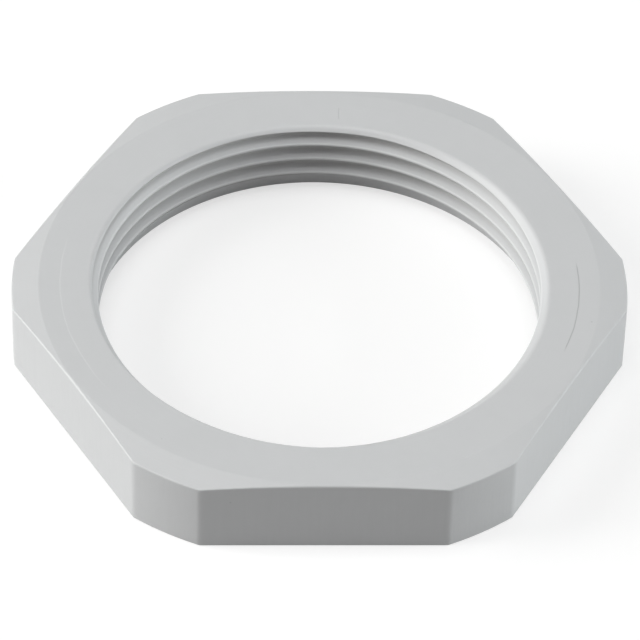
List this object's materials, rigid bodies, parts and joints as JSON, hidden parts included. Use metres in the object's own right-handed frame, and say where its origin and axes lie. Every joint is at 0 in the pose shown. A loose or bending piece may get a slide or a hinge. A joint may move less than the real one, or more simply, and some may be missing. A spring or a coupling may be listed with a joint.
{
  "type": "cable gland locknut",
  "caption": "Flat six-sided plastic nut that clamps a cable gland or conduit fitting to the wall of a box from inside.",
  "frame": {"origin": "centre of the bottom seating face, on the thread axis", "axes": "+Z along the thread axis, out of the bevelled face; one flat of the hexagon faces -Y"},
  "size_m": [0.05, 0.046, 0.0068],
  "materials": {
    "nut_plastic": "light grey moulded plastic with a fine satin skin"
  },
  "bodies": {
    "root": {"locknut": "nut_plastic"}
  },
  "joints": []
}
